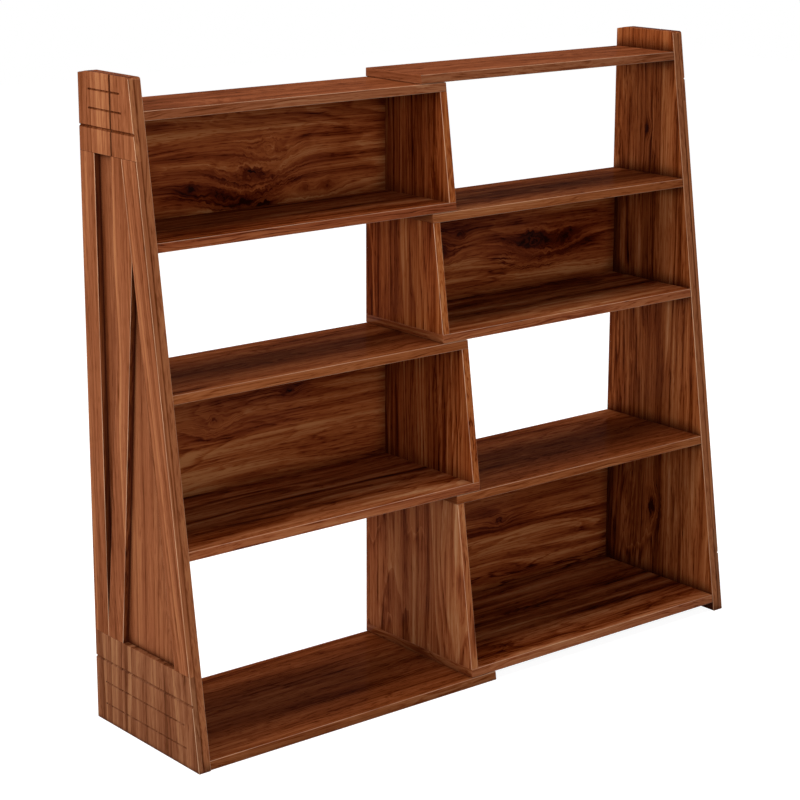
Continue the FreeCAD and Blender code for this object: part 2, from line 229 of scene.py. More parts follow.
@dataclass(frozen=True)
class Feature:
    """A feature of the wood that is drawn out along the grain."""

    length: float
    width: float
    layers: float  # finer layers of the noise
    roughness: float = 0.55  # weight of the finer layers

    def drawn(self, tree: bpy.types.NodeTree, place: bpy.types.NodeSocket) -> bpy.types.NodeSocket:
        """Add the feature as a noise about zero.

        Args:
            tree: Node tree of the figure.
            place: Place in the wood, in millimetres.

        Returns:
            Socket with a value between about -0.5 and 0.5.
        """
        scale = (1 / self.length, 1 / self.width, 1 / self.width)
        scaled = add(tree, VECTOR, {0: place, 1: scale}, operation="MULTIPLY")
        settings = {"Scale": 1.0, "Detail": self.layers, "Roughness": self.roughness}
        noise = add(tree, NOISE, {"Vector": scaled, **settings})
        return add(tree, MATH, {0: noise, 1: 0.5}, operation="SUBTRACT").outputs[0]


class WalnutLog:
    """The figure of walnut as it grew: rings, streaks, clouds, veins and pores in three dimensions."""

    WANDER = Feature(900.0, 160.0, 1.0)
    WOBBLE = Feature(300.0, 44.0, 2.0)
    STREAK = Feature(900.0, 7.0, 3.0, 0.7)
    LINE = Feature(420.0, 2.8, 1.0)
    CLOUD = Feature(520.0, 26.0, 1.5)
    VEIN = Feature(340.0, 30.0, 3.0)
    VEIN_PATCH = Feature(260.0, 80.0, 2.0)
    FLECK = Feature(24.0, 1.8, 1.5)  # a pore is about 0.3 mm wide, so it is drawn as coarse as can show
    WANDER_SWING = 62.0  # how far the slow wandering takes the grain from its line
    WEIGHTS = ("Bands", "Rings", "Streaks", "Lines", "Clouds", "Veins")

    # What the noises become: thin veins in some patches only, pores, and lines that darken more than lift
    VEIN_WIDTH = {"From Min": 0.0, "From Max": 0.022, "To Min": 1.0, "To Max": 0.0}
    VEINED = {"From Min": -0.02, "From Max": 0.16}
    PORE_DEPTH = {"From Min": 0.05, "From Max": 0.18}
    LINE_DEPTH = {"From Min": 0.0, "From Max": 0.22, "To Min": -0.2, "To Max": 0.8}

    # Years: good and lean ones come in waves, and each ends with a dark stretch that stops short
    YEAR_WAVES = 0.35
    YEAR_SWING = 3.0
    LATE_CURVE = 2.2
    LATE_STOP = {"From Min": 0.85, "From Max": 1.0, "To Min": 1.0, "To Max": 0.0}
    LATE_LEAST = 0.3

    # Knots, in shares of their radius: a ragged oval with a dark tail along the grain
    RAGGED_WAVES = 0.09  # waves in each millimetre
    RAGGED_REACH = (2.4, 1.8, 0.0)
    OVAL = (0.6, 1.0, 0.0)
    TAIL = (0.2, 0.6, 0.0)
    TAIL_SHARE = 0.6
    SWING_FALL = 0.3  # how fast the bent grain, the core and the tail fade with the distance
    CORE_FALL = 1.6
    TAIL_FALL = 0.8

    def __init__(self) -> None:
        """Make the two node groups that every board shares."""
        self.knot = self.make_knot()
        self.figure = self.make_figure()

    def bell(
        self, tree: bpy.types.NodeTree, span: bpy.types.NodeSocket, fall: float
    ) -> bpy.types.NodeSocket:
        """Add a bell curve: 1 where the span is 0, falling away with its square.

        Args:
            tree: Node tree of the figure.
            span: Distance in units of the knot's radius.
            fall: How fast the curve falls.

        Returns:
            Socket with the height of the curve.
        """
        square = add(tree, MATH, {0: span, 1: span}, operation="MULTIPLY")
        power = add(tree, MATH, {0: square, 1: -fall}, operation="MULTIPLY")
        return add(tree, MATH, {0: power}, operation="EXPONENT").outputs[0]

    def make_knot(self) -> bpy.types.NodeTree:
        """Make the group that leads the grain round a knot.

        Returns:
            A group that bends a place in the wood and tells how dark the knot makes it.
        """
        tree = new_group(
            "grain_round_knot",
            {"Place": "Vector", "Knot": "Vector", "Radius": "Float", "Depth": "Float"},
            {"Place": "Vector", "Dark": "Float"},
        )
        given = tree.nodes["in"].outputs
        waves = {"Vector": given["Place"], "Scale": self.RAGGED_WAVES, "Detail": 3.0}
        ragged = add(tree, NOISE, waves).outputs["Color"]
        ragged = add(tree, VECTOR, {0: ragged, 1: (0.5, 0.5, 0.5)}, operation="SUBTRACT")
        reach = add(tree, VECTOR, {0: self.RAGGED_REACH, "Scale": given["Radius"]}, operation="SCALE")
        offset = add(tree, VECTOR, {0: given["Place"], 1: given["Knot"]}, operation="SUBTRACT")
        shaken = add(tree, VECTOR, {0: ragged, 1: reach, 2: offset}, operation="MULTIPLY_ADD")

        oval = add(tree, VECTOR, {0: shaken, 1: self.OVAL}, operation="MULTIPLY")
        span = add(tree, VECTOR, {0: oval}, operation="LENGTH").outputs["Value"]
        ratio = add(tree, MATH, {0: span, 1: given["Radius"]}, operation="DIVIDE").outputs[0]
        near = self.bell(tree, ratio, self.SWING_FALL)
        parts = add(tree, SPLIT, {0: offset}).outputs
        bent = add(tree, MIX, {0: near, MIX_VALUE_A: parts["Y"], MIX_VALUE_B: span})
        turned = add(tree, JOIN, {"X": parts["X"], "Y": bent, "Z": parts["Z"]})
        place = add(tree, VECTOR, {0: turned, 1: given["Knot"]}, operation="ADD")

        drawn = add(tree, VECTOR, {0: shaken, 1: self.TAIL}, operation="MULTIPLY")
        length = add(tree, VECTOR, {0: drawn}, operation="LENGTH").outputs["Value"]
        far = add(tree, MATH, {0: length, 1: given["Radius"]}, operation="DIVIDE").outputs[0]
        core = self.bell(tree, ratio, self.CORE_FALL)
        tail = self.bell(tree, far, self.TAIL_FALL)
        shade = add(tree, MATH, {0: tail, 1: self.TAIL_SHARE, 2: core}, operation="MULTIPLY_ADD")
        dark = add(tree, MATH, {0: shade, 1: given["Depth"]}, operation="MULTIPLY")
        tree.links.new(place.outputs[0], tree.nodes["out"].inputs["Place"])
        tree.links.new(dark.outputs[0], tree.nodes["out"].inputs["Dark"])
        return tree

    def rings(
        self, tree: bpy.types.NodeTree, flow: bpy.types.NodeSocket, given: bpy.types.NodeOutputs
    ) -> tuple[bpy.types.NodeSocket, bpy.types.NodeSocket]:
        """Add the yearly rings round the pith.

        Args:
            tree: Node tree of the figure.
            flow: Place in the wood after its wandering.
            given: What the group is given.

        Returns:
            Sockets with the tone of each ring and with the darkness of its late wood.
        """
        parts = add(tree, SPLIT, {0: flow}).outputs
        slope = {0: parts["X"], 1: given["Pith slope"], 2: given["Pith depth"]}
        sunk = add(tree, MATH, slope, operation="MULTIPLY_ADD")
        across = add(tree, MATH, {0: parts["Y"], 1: given["Pith across"]}, operation="SUBTRACT")
        through = add(tree, MATH, {0: parts["Z"], 1: sunk}, operation="ADD")
        spoke = add(tree, JOIN, {"Y": across, "Z": through})
        radius = add(tree, VECTOR, {0: spoke}, operation="LENGTH").outputs["Value"]
        even = add(tree, MATH, {0: radius, 1: given["Ring width"]}, operation="DIVIDE")
        waves = {"W": even, "Scale": self.YEAR_WAVES, "Detail": 1.0}
        season = add(tree, NOISE, waves, noise_dimensions="1D")
        phase = add(tree, MATH, {0: season, 1: self.YEAR_SWING, 2: even}, operation="MULTIPLY_ADD")
        number = add(tree, MATH, {0: phase}, operation="FLOOR")
        part = add(tree, MATH, {0: phase}, operation="FRACT")
        year = add(tree, "ShaderNodeTexWhiteNoise", {"W": number}, noise_dimensions="1D").outputs["Value"]
        band = add(tree, MATH, {0: year, 1: 0.5}, operation="SUBTRACT")
        rise = add(tree, MATH, {0: part, 1: self.LATE_CURVE}, operation="POWER")
        stop = add(tree, RANGE, {"Value": part, **self.LATE_STOP})
        late = add(tree, MATH, {0: rise, 1: stop}, operation="MULTIPLY")
        strength = add(tree, MATH, {0: year, 1: self.LATE_LEAST}, operation="ADD")
        late = add(tree, MATH, {0: late, 1: strength}, operation="MULTIPLY")
        return band.outputs[0], late.outputs[0]

    def make_figure(self) -> bpy.types.NodeTree:
        """Make the group that gives the tone of the wood at a place.

        Returns:
            A group with the tone, from dark at 0 to light at 1, the fine lines and the pores.
        """
        floats = ("Ring width", "Pith across", "Pith depth", "Pith slope", "Swirl", *self.WEIGHTS)
        tree = new_group(
            "walnut_figure",
            {"Place": "Vector", **dict.fromkeys(floats, "Float")},
            {"Tone": "Float", "Lines": "Float", "Pores": "Float"},
        )
        given = tree.nodes["in"].outputs
        place = given["Place"]
        wander = self.WANDER.drawn(tree, place)
        wobble = self.WOBBLE.drawn(tree, place)
        slow = add(tree, MATH, {0: wander, 1: self.WANDER_SWING}, operation="MULTIPLY")
        shift = add(tree, MATH, {0: wobble, 1: given["Swirl"], 2: slow}, operation="MULTIPLY_ADD")
        sway = add(tree, JOIN, {"Y": shift, "Z": shift})
        flow = add(tree, VECTOR, {0: place, 1: sway}, operation="ADD").outputs[0]

        band, late = self.rings(tree, flow, given)
        streak = self.STREAK.drawn(tree, flow)
        cloud = self.CLOUD.drawn(tree, flow)
        middle = add(tree, MATH, {0: self.VEIN.drawn(tree, flow)}, operation="ABSOLUTE")
        vein = add(tree, RANGE, {"Value": middle, **self.VEIN_WIDTH})
        shown = add(tree, RANGE, {"Value": self.VEIN_PATCH.drawn(tree, place), **self.VEINED})
        veins = add(tree, MATH, {0: vein, 1: shown}, operation="MULTIPLY")
        pores = add(tree, RANGE, {"Value": self.FLECK.drawn(tree, flow), **self.PORE_DEPTH})
        lines = add(tree, RANGE, {"Value": self.LINE.drawn(tree, flow), **self.LINE_DEPTH})

        tone = add(tree, MATH, {0: band, 1: given["Bands"], 2: MIDDLE_TONE}, operation="MULTIPLY_ADD")
        for value, weight in ((streak, "Streaks"), (cloud, "Clouds")):
            tone = add(tree, MATH, {0: value, 1: given[weight], 2: tone}, operation="MULTIPLY_ADD")
        for value, weight in ((late, "Rings"), (lines, "Lines"), (veins, "Veins")):
            darker = add(tree, MATH, {0: value, 1: given[weight]}, operation="MULTIPLY")
            tone = add(tree, MATH, {0: tone, 1: darker}, operation="SUBTRACT")
        for node, name in ((tone, "Tone"), (lines, "Lines"), (pores, "Pores")):
            tree.links.new(node.outputs[0], tree.nodes["out"].inputs[name])
        return tree


@dataclass(frozen=True)
class LacqueredWalnut:
    """Sliced walnut, sanded, stained reddish brown and sprayed with a thin satin lacquer.

    The eye gets long streaks of dark and light wood, pores as fine dark flecks and a soft sheen that
    grows towards a flat angle. On the eased edges, paler lines are partly lacquer rubbed thin and partly
    a painted highlight; some finishes add painted shade in inner corners and painted light to the front.
    """

    name: str
    shades: tuple[str, ...]  # from the darkest wood to the lightest
    veneer_shades: tuple[str, ...] = ()  # shades of an outer veneer, on a board that has one
    ring_width: float = 5.0
    pith_across: float = 40.0  # the pith beside the board's middle
    pith_depth: float = 90.0  # the pith behind the board
    swirl: float = 36.0  # how far the grain swings from its line
    bands: float = 0.1
    rings: float = 0.28
    streaks: float = 0.6
    lines: float = 0.18
    clouds: float = 0.6
    veins: float = 0.2
    pores: float = 0.22
    front_tone_and_shade: float = 0.06  # the strip on a front edge is lighter than the faces; below 0, painted shade on walls that face the front
    front_calm: float = 0.4  # share of the figure that the strip lacks
    front_lines: float = 0.28  # the strip is cut with its rings on edge, which gives it fine lines
    painted_front_light: float = 0.0  # painted light: how much lighter the face is along the front edge
    # colour of the eased edges: lacquer rubbed thin, and a painted highlight
    wear_and_highlight: str = "#d9b090"
    wear_and_highlight_share: float = 0.8
    wear_and_highlight_on_ends: bool = False
    end_cast: float = -0.16  # end grain drinks more stain
    banded_ends: bool = False  # a strip of veneer on the ends, with its grain along the strip
    painted_depth_light: float = 0.0  # painted light: how much lighter the front is than the rear
    painted_corner_shade: float = 0.0  # painted shade in inner corners, grooves and recesses
    painted_shade_reach: float = 36.0  # how far the painted shade reaches from the corner
    painted_shade_full: float = 0.35  # share of open surroundings at which the painted shade is full
    film: float = 0.035  # share of the surface that the lacquer film covers
    film_roughness: float = 0.2

    # Ways the surface faces, as ranges of the normal's parts
    FRONT_EDGE = {"From Min": -0.85, "From Max": -0.97}
    END_GRAIN = {"From Min": 0.6, "From Max": 0.9}
    EASED_EDGE = {"From Min": 0.975, "From Max": 0.9, "To Min": 0.0}
    AWAY_FROM_ENDS = {"From Min": 0.2, "From Max": 0.4, "To Min": 1.0, "To Max": 0.0}
    NOT_INWARD = {"From Min": -0.9, "From Max": -0.6}
    NOT_UPWARD = {"From Min": 0.2, "From Max": 0.5, "To Min": 1.0, "To Max": 0.2}  # upward faces, lit from above, keep a fifth of the painted shade

    HIGHLIGHT_AND_WEAR_SPACING = 160.0  # spacing of the places where the painted highlight and the wear on edges are strongest
    HIGHLIGHT_AND_WEAR_PATCHES = {"From Min": 0.35, "From Max": 0.6, "To Min": 0.45, "To Max": 1.0}
    PITH_SPREAD = 0.4  # how much the pith's place differs from cut to cut, and its slope with it
    PITH_SLOPE = 0.08
    KNOT_DARK = 0.55
    VENEER_CALM = 0.6  # share of the figure that an outer veneer keeps
    VENEER_LIFT = 0.22  # how much lighter it is
    GLUE_WIDTH = 2.6  # a real glue line is far finer, so it is drawn as coarse as can show
    GLUE_DARK = 0.45
    PAINTED_LIGHT_STRIP = 90.0  # depth of the painted light along a shelf's front edge
    OPEN = 0.9  # share of open surroundings at which no painted shade is left
    PORE_BUMP = {"Strength": 0.3, "Distance": 0.2 * MM}
    SHEEN = {"To Min": 0.58, "To Max": 0.44}  # dark wood is rougher than light wood
    PORE_FILM = 0.4  # share of the film that is left over a pore

    def material(self, log: WalnutLog, board: Board) -> bpy.types.Material:
        """Make the material of one board.

        Args:
            log: The shared figure of the wood.
            board: The board that is cut from it.

        Returns:
            A material named for the finish and the board.
        """
        made = new_material(f"{self.name}_{board.node}")
        tree = made.node_tree
        ends, front, edge_highlight_and_wear = self.edges(tree, board)
        place, dark = self.board_place(tree, log, board, ends)
        figure = self.figure(tree, log, board, place)
        tone = self.tone(tree, board, figure, ends, front)
        if dark is not None:
            tone = add(tree, MATH, {0: dark, 1: -self.KNOT_DARK, 2: tone}, operation="MULTIPLY_ADD")
        colour = self.stained(tree, tone, self.shades)
        if board.outward:
            colour = self.veneer_outside(tree, tone, colour, board.outward)
        # painted shade in the inner corners
        if self.painted_corner_shade:
            colour = self.paint_corner_shade(tree, colour)
        # painted highlight and rubbed lacquer on the eased edges
        highlight_and_wear_mix = {0: edge_highlight_and_wear, MIX_COLOUR_A: colour, MIX_COLOUR_B: linear(self.wear_and_highlight)}
        wear_and_highlight = add(tree, MIX, highlight_and_wear_mix, data_type="RGBA")
        bump = add(tree, BUMP, {"Height": figure["Pores"], **self.PORE_BUMP}, invert=True)
        rough = add(tree, RANGE, {"Value": figure["Tone"], **self.SHEEN})
        covered = {"To Min": self.film, "To Max": self.PORE_FILM * self.film}
        film = add(tree, RANGE, {"Value": figure["Pores"], **covered})
        shader = add(
            tree,
            SHADER,
            {
                "Base Color": wear_and_highlight.outputs[MIX_COLOUR_RESULT],
                "Roughness": rough,
                "Specular IOR Level": 0.0,
                "Coat Weight": film,
                "Coat Roughness": self.film_roughness,
                "Coat IOR": 1.5,
                "Normal": bump,
            },
        )
        add(tree, OUTPUT, {"Surface": shader})
        return made

    def edges(
        self, tree: bpy.types.NodeTree, board: Board
    ) -> tuple[bpy.types.NodeSocket, bpy.types.NodeSocket, bpy.types.NodeSocket]:
        """Find the board's end grain, front edge and eased edges from the way the surface faces.

        Args:
            tree: Node tree of the board's material.
            board: The board.

        Returns:
            Sockets with the shares of end grain, of front edge and of rubbed lacquer with its painted
            highlight.
        """
        normal = add(tree, GEOMETRY).outputs["Normal"]
        facing = add(tree, SPLIT, {0: normal}).outputs["Y"]
        front = add(tree, RANGE, {"Value": facing, **self.FRONT_EDGE})
        size = add(tree, VECTOR, {0: normal}, operation="ABSOLUTE")
        axes = add(tree, SPLIT, {0: size}).outputs
        along, across, through = (axes[axis] for axis in board.grain.value)
        ends = add(tree, RANGE, {"Value": along, **self.END_GRAIN})
        longest = add(tree, MATH, {0: across, 1: through}, operation="MAXIMUM")
        if self.wear_and_highlight_on_ends:
            longest = add(tree, MATH, {0: longest, 1: along}, operation="MAXIMUM")
        share = add(tree, RANGE, {"Value": longest, **self.EASED_EDGE, "To Max": self.wear_and_highlight_share})
        place = add(tree, COORDS).outputs["Object"]
        waves = {"Vector": place, "Scale": 1 / (self.HIGHLIGHT_AND_WEAR_SPACING * MM), "Detail": 2.0}
        patchy = add(tree, RANGE, {"Value": add(tree, NOISE, waves), **self.HIGHLIGHT_AND_WEAR_PATCHES})
        share = add(tree, MATH, {0: share, 1: patchy}, operation="MULTIPLY")
        if not self.wear_and_highlight_on_ends:
            sides = add(tree, RANGE, {"Value": along, **self.AWAY_FROM_ENDS})
            share = add(tree, MATH, {0: share, 1: sides}, operation="MULTIPLY")
        return ends.outputs[0], front.outputs[0], share.outputs[0]

    def board_place(
        self, tree: bpy.types.NodeTree, log: WalnutLog, board: Board, ends: bpy.types.NodeSocket
    ) -> tuple[bpy.types.NodeSocket, bpy.types.NodeSocket | None]:
        """Turn the frame's coordinates into a place in the log, bent round the board's knots.

        Args:
            tree: Node tree of the board's material.
            log: The shared figure of the wood.
            board: The board.
            ends: Share of end grain.

        Returns:
            Sockets with the place in millimetres and with the knots' darkness, if there are any.
        """
        frame_place = add(tree, COORDS).outputs["Object"]
        sized = add(tree, VECTOR, {0: frame_place, "Scale": 1 / MM}, operation="SCALE")
        axes = add(tree, SPLIT, {0: sized}).outputs
        along, across, through = (axes[axis] for axis in board.grain.value)
        straight = add(tree, MATH, {0: along, 1: -board.lean, 2: across}, operation="MULTIPLY_ADD")
        place = add(tree, JOIN, {"X": along, "Y": straight, "Z": through}).outputs[0]
        if self.banded_ends:
            strip = add(tree, JOIN, {"X": across, "Y": through})
            either = {0: ends, MIX_PLACE_A: place, MIX_PLACE_B: strip}
            place = add(tree, MIX, either, data_type="VECTOR").outputs[MIX_PLACE_RESULT]
        dark = None
        for knot in board.knots:
            sizes = {"Knot": (knot.along, knot.across, 0.0), "Radius": knot.radius, "Depth": knot.dark}
            bent = add(tree, "ShaderNodeGroup", {"Place": place, **sizes}, node_tree=log.knot).outputs
            place = bent["Place"]
            if dark is None:
                dark = bent["Dark"]
            else:
                dark = add(tree, MATH, {0: dark, 1: bent["Dark"]}, operation="MAXIMUM").outputs[0]
        moved = add(tree, VECTOR, {0: place, 1: board.place_in_log()}, operation="ADD")
        return moved.outputs[0], dark

    def figure(
        self, tree: bpy.types.NodeTree, log: WalnutLog, board: Board, place: bpy.types.NodeSocket
    ) -> bpy.types.NodeOutputs:
        """Add the figure of the wood with this finish's own weights.

        Args:
            tree: Node tree of the board's material.
            log: The shared figure of the wood.
            board: The board.
            place: Place in the log.

        Returns:
            The group's tone, lines and pores.
        """
        pith = 1 + self.PITH_SPREAD * board.spread()
        weights = {
            "Place": place,
            "Ring width": self.ring_width,
            "Pith across": self.pith_across * pith,
            "Pith depth": self.pith_depth * pith,
            "Pith slope": self.PITH_SLOPE * board.spread(),
            "Swirl": self.swirl,
            "Bands": self.bands,
            "Rings": self.rings,
            "Streaks": self.streaks,
            "Lines": self.lines,
            "Clouds": self.clouds,
            "Veins": self.veins,
        }
        return add(tree, "ShaderNodeGroup", weights, node_tree=log.figure).outputs

    def tone(
        self,
        tree: bpy.types.NodeTree,
        board: Board,
        figure: bpy.types.NodeOutputs,
        ends: bpy.types.NodeSocket,
        front: bpy.types.NodeSocket,
    ) -> bpy.types.Node:
        """Work out the tone of the board's faces, ends and front edge.

        Args:
            tree: Node tree of the board's material.
            board: The board.
            figure: The wood's tone, lines and pores.
            ends: Share of end grain.
            front: Share of front edge.

        Returns:
            Node with the tone, from dark at 0 to light at 1.
        """
        pored = {0: figure["Pores"], 1: -self.pores, 2: figure["Tone"]}
        tone = add(tree, MATH, pored, operation="MULTIPLY_ADD")
        tone = add(tree, MATH, {0: ends, 1: self.end_cast, 2: tone}, operation="MULTIPLY_ADD")
        calmed = {0: tone, 1: 1 - self.front_calm, 2: self.front_calm * MIDDLE_TONE + self.front_tone_and_shade}
        strip = add(tree, MATH, calmed, operation="MULTIPLY_ADD")
        lined = {0: figure["Lines"], 1: -self.front_lines, 2: strip}
        strip = add(tree, MATH, lined, operation="MULTIPLY_ADD")
        tone = add(tree, MIX, {0: front, MIX_VALUE_A: tone, MIX_VALUE_B: strip})
        tone = add(tree, MATH, {0: tone, 1: board.cast}, operation="ADD")
        if board.seam is not None:
            tone = self.glue_line(tree, tone, front, board.seam)
        # painted light, growing towards the front of the bookcase
        if self.painted_depth_light:
            low, high = CAD_BOX
            tone = self.grade(tree, tone, (high.y, low.y), (-self.painted_depth_light / 2, self.painted_depth_light / 2))
        # painted light along the front edge of a shelf
        if self.painted_front_light:
            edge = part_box(board.node)[0].y
            tone = self.grade(tree, tone, (edge + self.PAINTED_LIGHT_STRIP * MM, edge), (0.0, self.painted_front_light))
        return tone

    def glue_line(
        self,
        tree: bpy.types.NodeTree,
        tone: bpy.types.Node,
        front: bpy.types.NodeSocket,
        seam: float,
    ) -> bpy.types.Node:
        """Darken the front edge along a glued joint.

        Args:
            tree: Node tree of the board's material.
            tone: Tone of the wood.
            front: Share of front edge.
            seam: Place of the joint along X, in millimetres.

        Returns:
            Node with the changed tone.
        """
        place = add(tree, COORDS).outputs["Object"]
        side = add(tree, SPLIT, {0: place}).outputs["X"]
        offset = add(tree, MATH, {0: side, 1: seam * MM}, operation="SUBTRACT")
        away = add(tree, MATH, {0: offset}, operation="ABSOLUTE")
        fading = {"From Max": self.GLUE_WIDTH * MM, "To Min": self.GLUE_DARK, "To Max": 0.0}
        line = add(tree, RANGE, {"Value": away, **fading})
        shown = add(tree, MATH, {0: line, 1: front}, operation="MULTIPLY")
        return add(tree, MATH, {0: tone, 1: shown}, operation="SUBTRACT")

    def grade(
        self,
        tree: bpy.types.NodeTree,
        tone: bpy.types.Node,
        depths: tuple[float, float],
        lifts: tuple[float, float],
    ) -> bpy.types.Node:
        """Paint light onto the wood, growing from one depth of the bookcase to another.

        Args:
            tree: Node tree of the board's material.
            tone: Tone of the wood.
            depths: Places along Y where the change begins, at the rear, and ends, in metres.
            lifts: How much lighter the wood is at each of them.

        Returns:
            Node with the changed tone.
        """
        place = add(tree, COORDS).outputs["Object"]
        depth = add(tree, SPLIT, {0: place}).outputs["Y"]
        change = dict(zip(("From Min", "From Max", "To Min", "To Max"), (*depths, *lifts)))
        rise = add(tree, RANGE, {"Value": depth, **change})
        return add(tree, MATH, {0: tone, 1: rise}, operation="ADD")

    def stained(
        self, tree: bpy.types.NodeTree, tone: bpy.types.Node, shades: tuple[str, ...]
    ) -> bpy.types.NodeSocket:
        """Turn the tone of the wood into its stained colour.

        Args:
            tree: Node tree of the board's material.
            tone: Tone of the wood, from dark at 0 to light at 1.
            shades: Hex colours at even steps of the tone.

        Returns:
            Socket with the colour.
        """
        steps = [step / (len(shades) - 1) for step in range(len(shades))]
        return add(tree, RAMP, {0: tone}, stops=dict(zip(steps, shades))).outputs["Color"]

    def veneer_outside(
        self,
        tree: bpy.types.NodeTree,
        tone: bpy.types.Node,
        colour: bpy.types.NodeSocket,
        outward: float,
    ) -> bpy.types.NodeSocket:
        """Give every face but the inner one a lighter and calmer veneer.

        Args:
            tree: Node tree of the board's material.
            tone: Tone of the wood.
            colour: Colour of the inner face.
            outward: Way along X that the outer face looks.

        Returns:
            Socket with the colour of all faces.
        """
        normal = add(tree, GEOMETRY).outputs["Normal"]
        facing = add(tree, VECTOR, {0: normal, 1: (outward, 0.0, 0.0)}, operation="DOT_PRODUCT")
        share = add(tree, RANGE, {"Value": facing.outputs["Value"], **self.NOT_INWARD})
        calmed = {0: tone, 1: self.VENEER_CALM, 2: self.VENEER_LIFT}
        calm = add(tree, MATH, calmed, operation="MULTIPLY_ADD")
        veneer = self.stained(tree, calm, self.veneer_shades)
        either = {0: share, MIX_COLOUR_A: colour, MIX_COLOUR_B: veneer}
        return add(tree, MIX, either, data_type="RGBA").outputs[MIX_COLOUR_RESULT]

    def paint_corner_shade(
        self, tree: bpy.types.NodeTree, colour: bpy.types.NodeSocket
    ) -> bpy.types.NodeSocket:
        """Paint shade into the inner corners, grooves and recesses, darker where less of the surroundings
        is open.

        Args:
            tree: Node tree of the board's material.
            colour: Colour of the bare wood.

        Returns:
            Socket with the shaded colour.
        """
        reach = {"Distance": self.painted_shade_reach * MM}
        hollow = add(tree, "ShaderNodeAmbientOcclusion", reach, samples=8).outputs["AO"]
        fading = {"From Min": self.painted_shade_full, "From Max": self.OPEN}
        fading |= {"To Min": self.painted_corner_shade, "To Max": 0.0}
        share = add(tree, RANGE, {"Value": hollow, **fading})
        normal = add(tree, GEOMETRY).outputs["Normal"]
        rise = add(tree, SPLIT, {0: normal}).outputs["Z"]
        covered = add(tree, RANGE, {"Value": rise, **self.NOT_UPWARD})
        share = add(tree, MATH, {0: share, 1: covered}, operation="MULTIPLY")
        either = {0: share, MIX_COLOUR_A: colour, MIX_COLOUR_B: linear(self.shades[0])}
        return add(tree, MIX, either, data_type="RGBA").outputs[MIX_COLOUR_RESULT]


@dataclass(frozen=True)
class PlatedMetal:
    """Zinc, plated bright on steel or cast as cams: a grey metal with a faintly mottled gloss."""

    name: str
    colour: str
    darker_mottle: str
    roughness: float
    crystal: float  # size of the mottling
    mottling: float = 0.08  # how much the roughness differs with it

    def material(self) -> bpy.types.Material:
        """Make the material.

        Returns:
            A material named for the finish.
        """
        made = new_material(self.name)
        tree = made.node_tree
        place = add(tree, COORDS).outputs["Object"]
        mottle = add(tree, NOISE, {"Vector": place, "Scale": 1 / (self.crystal * MM), "Detail": 3.0})
        colour = add(tree, RAMP, {0: mottle}, stops={0.3: self.darker_mottle, 0.7: self.colour})
        spread = {"To Min": self.roughness - self.mottling, "To Max": self.roughness + self.mottling}
        rough = add(tree, RANGE, {"Value": mottle, **spread})
        bump = add(tree, BUMP, {"Height": mottle, "Strength": 0.2, "Distance": 0.05 * MM})
        surface = {"Base Color": colour, "Metallic": 1.0, "Roughness": rough, "Normal": bump}
        add(tree, OUTPUT, {"Surface": add(tree, SHADER, surface)})
        return made


@dataclass(frozen=True)
class TurnedBeech:
    """Beech turned to dowels and left bare: pale, matt, with short darker flecks along the grain."""

    name: str = "turned_beech"
    pale: str = "#d2ac7c"
    fleck: str = "#a87c4c"
    fleck_length: float = 4.0
    fleck_width: float = 0.7
    roughness: float = 0.7

    def material(self) -> bpy.types.Material:
        """Make the material.

        Returns:
            A material named for the finish.
        """
        made = new_material(self.name)
        tree = made.node_tree
        place = add(tree, COORDS).outputs["Object"]
        scale = [1 / (size * MM) for size in (self.fleck_length, self.fleck_width, self.fleck_width)]
        drawn = add(tree, VECTOR, {0: place, 1: scale}, operation="MULTIPLY")
        flecks = add(tree, NOISE, {"Vector": drawn, "Scale": 1.0, "Detail": 2.0})
        colour = add(tree, RAMP, {0: flecks}, stops={0.35: self.fleck, 0.6: self.pale})
        bump = add(tree, BUMP, {"Height": flecks, "Strength": 0.3, "Distance": 0.1 * MM})
        surface = {"Base Color": colour, "Roughness": self.roughness, "Normal": bump}
        add(tree, OUTPUT, {"Surface": add(tree, SHADER, surface)})
        return made


# The facing of the end panels: straight stripes, bright edges of rubbed wear and painted highlight, and
# grooves darkened by painted shade
PANEL_WALNUT = LacqueredWalnut(
    "lacquered_walnut_panel",
    shades=("#431a0d", "#6e381b", "#8f5232", "#a86a43", "#bd8458"),
    ring_width=13.0,
    pith_across=320.0,
    swirl=16.0,
    bands=0.4,
    rings=0.25,
    streaks=0.75,
    lines=0.12,
    veins=0.1,
    pores=0.16,
    wear_and_highlight="#dcb08c",
    end_cast=-0.1,
    painted_corner_shade=0.95,
    painted_shade_reach=12.0,
    film=0.05,
)
# The top block, with a dark end and softer painted shade in its grooves
BLOCK_WALNUT = replace(PANEL_WALNUT, name="lacquered_walnut_block", end_cast=-0.4, painted_corner_shade=0.55)
# The strips beside the recesses, with painted shade on their flanks that face the front
STRIP_WALNUT = replace(PANEL_WALNUT, name="lacquered_walnut_strip", front_tone_and_shade=-0.32)
# The bottom block, a little greyer and cloudier
FOOT_WALNUT = replace(
    PANEL_WALNUT,
    name="lacquered_walnut_foot",
    shades=("#3e190d", "#66361c", "#855033", "#9b6845", "#af825c"),
    clouds=1.0,
)
# The core of the end panels: bold dark stripes inside, a calm veneer outside
CORE_WALNUT = LacqueredWalnut(
    "lacquered_walnut_core",
    shades=("#2a0902", "#5e2509", "#8c4721", "#a86438", "#bf855a"),
    veneer_shades=("#3f180c", "#6a351a", "#8b4f30", "#a46741", "#ba8257"),
    ring_width=14.0,
    pith_across=70.0,
    pith_depth=60.0,
    swirl=22.0,
    bands=0.25,
    rings=0.45,
    streaks=1.2,
    lines=0.24,
    clouds=0.7,
    veins=0.15,
    pores=0.18,
    wear_and_highlight="#dcb08c",
    end_cast=-0.4,
    painted_depth_light=0.2,
    painted_corner_shade=0.9,
    painted_shade_full=0.52,
)
